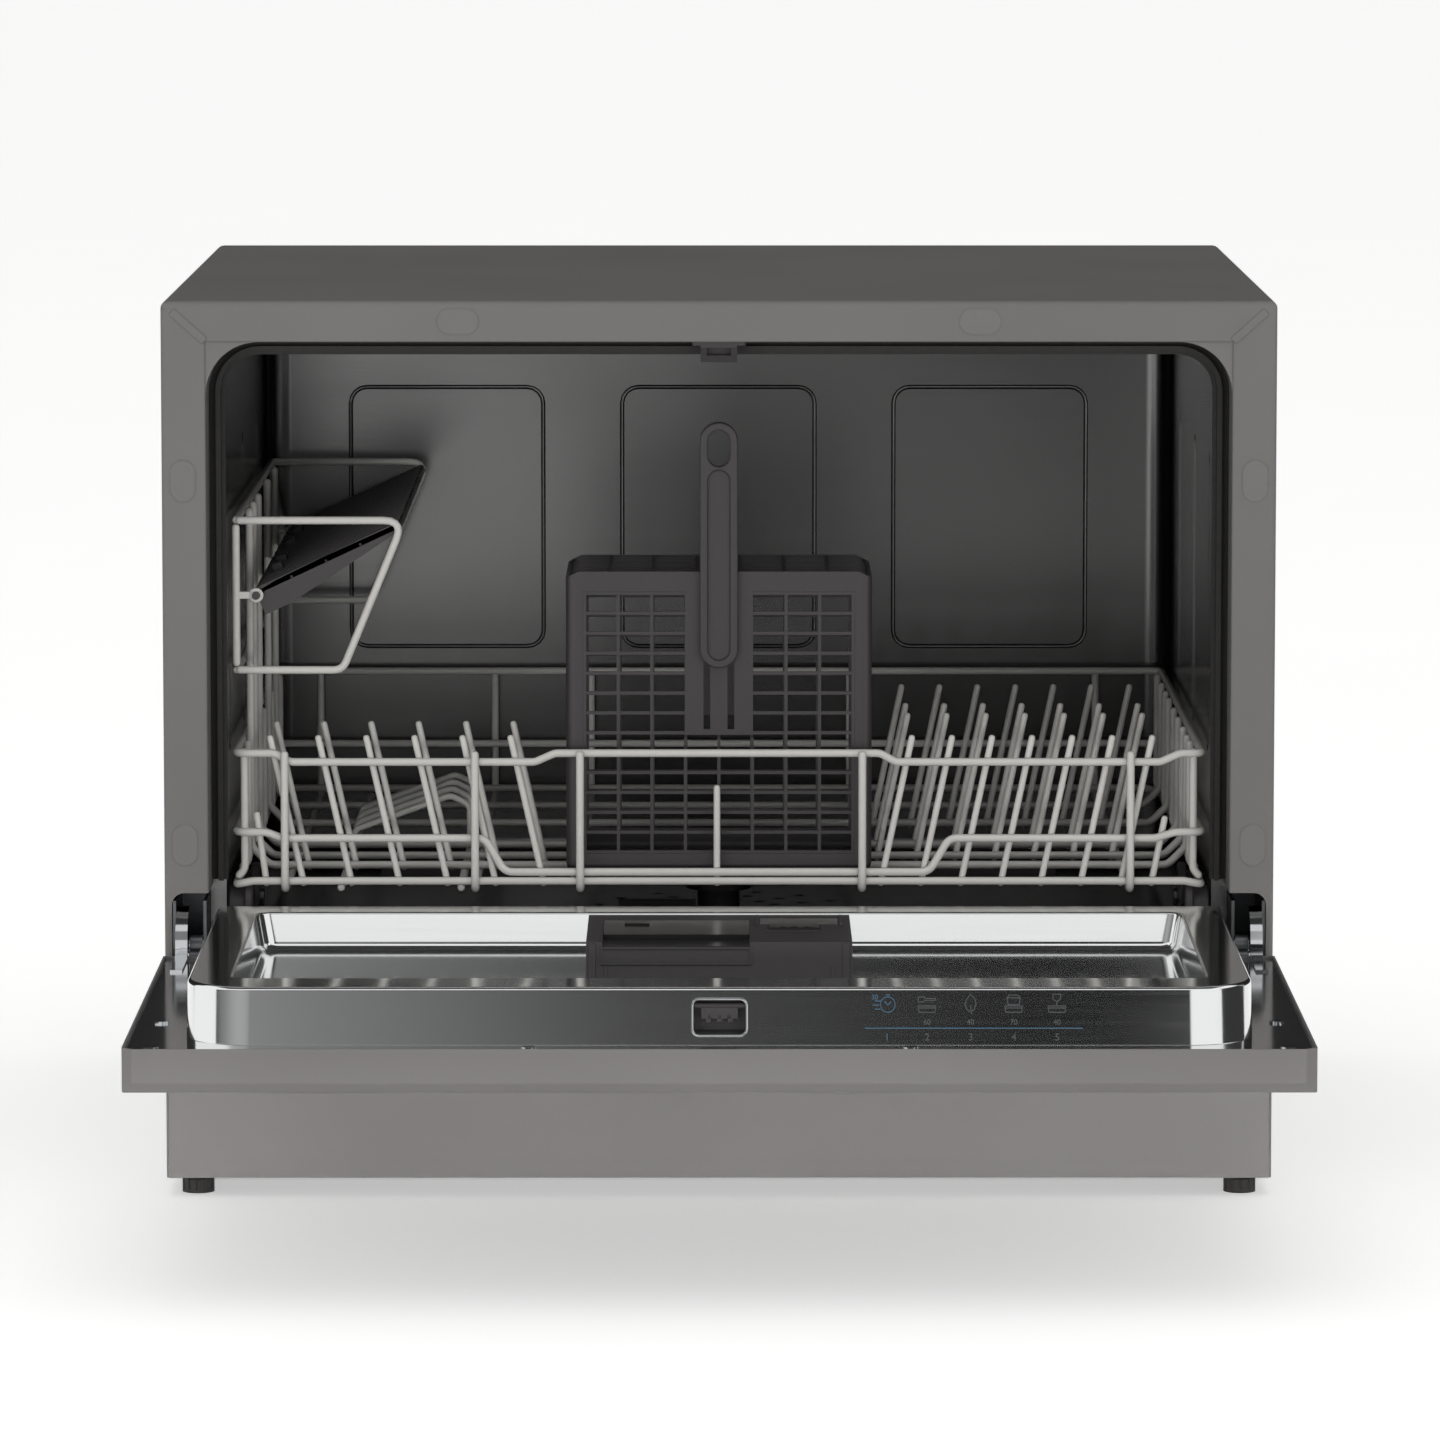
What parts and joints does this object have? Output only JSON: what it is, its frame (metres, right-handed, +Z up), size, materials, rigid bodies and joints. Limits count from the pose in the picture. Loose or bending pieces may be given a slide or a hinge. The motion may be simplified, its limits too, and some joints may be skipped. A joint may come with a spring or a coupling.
{
  "type": "countertop dishwasher",
  "caption": "Compact countertop dishwasher with an open drop-down door, wire rack, cutlery basket, folding cup shelf, spray arm and hinged dispenser",
  "frame": {"origin": "centre of the bounding box's underside, with the door open, on the surface that the feet stand on", "axes": "+X to the right seen from the front, +Y from the door into the cabinet, +Z up"},
  "size_m": [0.55, 0.8134, 0.446],
  "materials": {
    "painted_body": "fine textured powder coat",
    "dark_plastic": "moulded plastic, dark grey",
    "grey_plastic": "moulded plastic, light grey",
    "black_rubber": "moulded rubber",
    "stainless": "bright stainless sheet",
    "blanket": "bitumen and felt blanket",
    "zinc_steel": "zinc plated steel",
    "bright_steel": "polished steel",
    "white_plastic": "moulded plastic, white",
    "black_gloss": "gloss black",
    "circuit": "printed circuit board",
    "key_plastic": "moulded keys, satin grey",
    "wire_coat": "nylon coated steel wire, light grey"
  },
  "bodies": {
    "cabinet": {"outer_wrap": "painted_body", "rear_panel": "painted_body", "base_tray": "dark_plastic", "kick_plate": "painted_body", "flange_plugs": "grey_plastic", "corner_fillers": "grey_plastic", "rear_feet": "black_rubber", "tub": "stainless", "tub_insulation": "blanket", "door_gasket": "black_rubber", "mouth_sill": "stainless", "bottom_seal": "black_rubber", "door_strike": "dark_plastic", "hinge_brackets": "zinc_steel", "hinge_pins": "bright_steel", "door_springs": "zinc_steel", "roller_pins": "zinc_steel", "sump": "dark_plastic", "filter_plate": "stainless", "spray_seat": "dark_plastic", "wash_pump": "dark_plastic", "drain_pump": "dark_plastic", "inlet_valve": "white_plastic", "air_break_tank": "white_plastic", "inner_hoses": "black_rubber", "drain_outlet": "dark_plastic", "power_terminal": "dark_plastic"},
    "foot_left": {"front_foot_left": "black_rubber"},
    "foot_right": {"front_foot_right": "black_rubber"},
    "filter": {"filter_cup": "dark_plastic"},
    "float": {"float": "dark_plastic"},
    "spray": {"spray_arm": "dark_plastic"},
    "door": {"door_panel": "painted_body", "door_liner": "stainless", "door_insulation": "blanket", "hinge_arms": "bright_steel", "door_screws": "bright_steel", "control_fascia": "black_gloss", "display_window": "black_gloss", "control_board": "circuit", "grip_cup": "dark_plastic", "dispenser_body": "dark_plastic", "latch_housing": "dark_plastic"},
    "power_key": {"power_button": "key_plastic"},
    "program_key": {"program_button": "key_plastic"},
    "delay_key": {"delay_button": "key_plastic"},
    "start_key": {"start_button": "key_plastic"},
    "lid": {"detergent_lid": "dark_plastic"},
    "flap": {"rinse_aid_flap": "dark_plastic"},
    "tongue": {"latch_tongue": "dark_plastic"},
    "rack": {"rack_frame": "wire_coat", "rack_tines": "wire_coat", "basket_shell": "dark_plastic", "basket_grids": "dark_plastic"},
    "shelf": {"cup_shelf": "dark_plastic"},
    "handle": {"basket_handle": "dark_plastic"},
    "roller_fl": {"roller_front_left": "dark_plastic"},
    "roller_fr": {"roller_front_right": "dark_plastic"},
    "roller_rl": {"roller_rear_left": "dark_plastic"},
    "roller_rr": {"roller_rear_right": "dark_plastic"}
  },
  "joints": [
    {"name": "door_hinge", "type": "hinge", "parent": "cabinet", "child": "door", "pos_m": [0, -0.08735, 0.1256], "axis": [-1, 0, 0], "range_deg": [0, 90]},
    {"name": "rack_slide", "type": "slide", "parent": "cabinet", "child": "rack", "axis": [0, 1, 0], "range_m": [-0.29, 0]},
    {"name": "spray_arm_spin", "type": "hinge", "parent": "cabinet", "child": "spray", "pos_m": [0, 0.14165, 0.131], "axis": [0, 0, 1], "continuous": true},
    {"name": "filter_turn", "type": "hinge", "parent": "cabinet", "child": "filter", "pos_m": [-0.032, 0.10965, 0.113], "axis": [0, 0, 1], "range_deg": [0, 90]},
    {"name": "float_lift", "type": "slide", "parent": "cabinet", "child": "float", "axis": [0, 0, 1], "range_m": [0, 0.008]},
    {"name": "foot_screw_left", "type": "hinge", "parent": "cabinet", "child": "foot_left", "pos_m": [-0.26, -0.07535, 0.004], "axis": [0, 0, 1], "continuous": true},
    {"name": "foot_screw_right", "type": "hinge", "parent": "cabinet", "child": "foot_right", "pos_m": [0.26, -0.07535, 0.004], "axis": [0, 0, 1], "continuous": true},
    {"name": "cup_shelf_fold", "type": "hinge", "parent": "rack", "child": "shelf", "pos_m": [-0.231, 0.13215, 0.296], "axis": [0, -1, 0], "range_deg": [0, 60]},
    {"name": "basket_handle_slide", "type": "slide", "parent": "rack", "child": "handle", "axis": [0, 0, 1], "range_m": [-0.035, 0]},
    {"name": "detergent_lid_slide", "type": "slide", "parent": "door", "child": "lid", "axis": [0, -1, 0], "range_m": [0, 0.042]},
    {"name": "rinse_flap_hinge", "type": "hinge", "parent": "door", "child": "flap", "pos_m": [0.039, -0.13815, 0.1444], "axis": [-1, 0, 0], "range_deg": [0, 50]},
    {"name": "latch_tongue_hinge", "type": "hinge", "parent": "door", "child": "tongue", "pos_m": [0, -0.37415, 0.1376], "axis": [1, 0, 0], "range_deg": [0, 15], "stiffness_Nm_per_rad": 0.02},
    {"name": "power_press", "type": "slide", "parent": "door", "child": "power_key", "axis": [0, 0, 1], "range_m": [0, 0.001], "stiffness_N_per_m": 300, "springref_m": -0.001},
    {"name": "program_press", "type": "slide", "parent": "door", "child": "program_key", "axis": [0, 0, 1], "range_m": [0, 0.001], "stiffness_N_per_m": 300, "springref_m": -0.001},
    {"name": "delay_press", "type": "slide", "parent": "door", "child": "delay_key", "axis": [0, 0, 1], "range_m": [0, 0.001], "stiffness_N_per_m": 300, "springref_m": -0.001},
    {"name": "start_press", "type": "slide", "parent": "door", "child": "start_key", "axis": [0, 0, 1], "range_m": [0, 0.001], "stiffness_N_per_m": 300, "springref_m": -0.001},
    {"name": "roller_fl_spin", "type": "hinge", "parent": "cabinet", "child": "roller_fl", "pos_m": [-0.2412, -0.04535, 0.136], "axis": [1, 0, 0], "continuous": true},
    {"name": "roller_fr_spin", "type": "hinge", "parent": "cabinet", "child": "roller_fr", "pos_m": [0.2412, -0.04535, 0.136], "axis": [1, 0, 0], "continuous": true},
    {"name": "roller_rl_spin", "type": "hinge", "parent": "cabinet", "child": "roller_rl", "pos_m": [-0.2412, 0.01265, 0.136], "axis": [1, 0, 0], "continuous": true},
    {"name": "roller_rr_spin", "type": "hinge", "parent": "cabinet", "child": "roller_rr", "pos_m": [0.2412, 0.01265, 0.136], "axis": [1, 0, 0], "continuous": true}
  ],
  "couplings": [
    {"joint": "roller_fl_spin", "follows": "rack_slide", "rad_per_m": -71.429},
    {"joint": "roller_fr_spin", "follows": "rack_slide", "rad_per_m": -71.429},
    {"joint": "roller_rl_spin", "follows": "rack_slide", "rad_per_m": -71.429},
    {"joint": "roller_rr_spin", "follows": "rack_slide", "rad_per_m": -71.429}
  ]
}
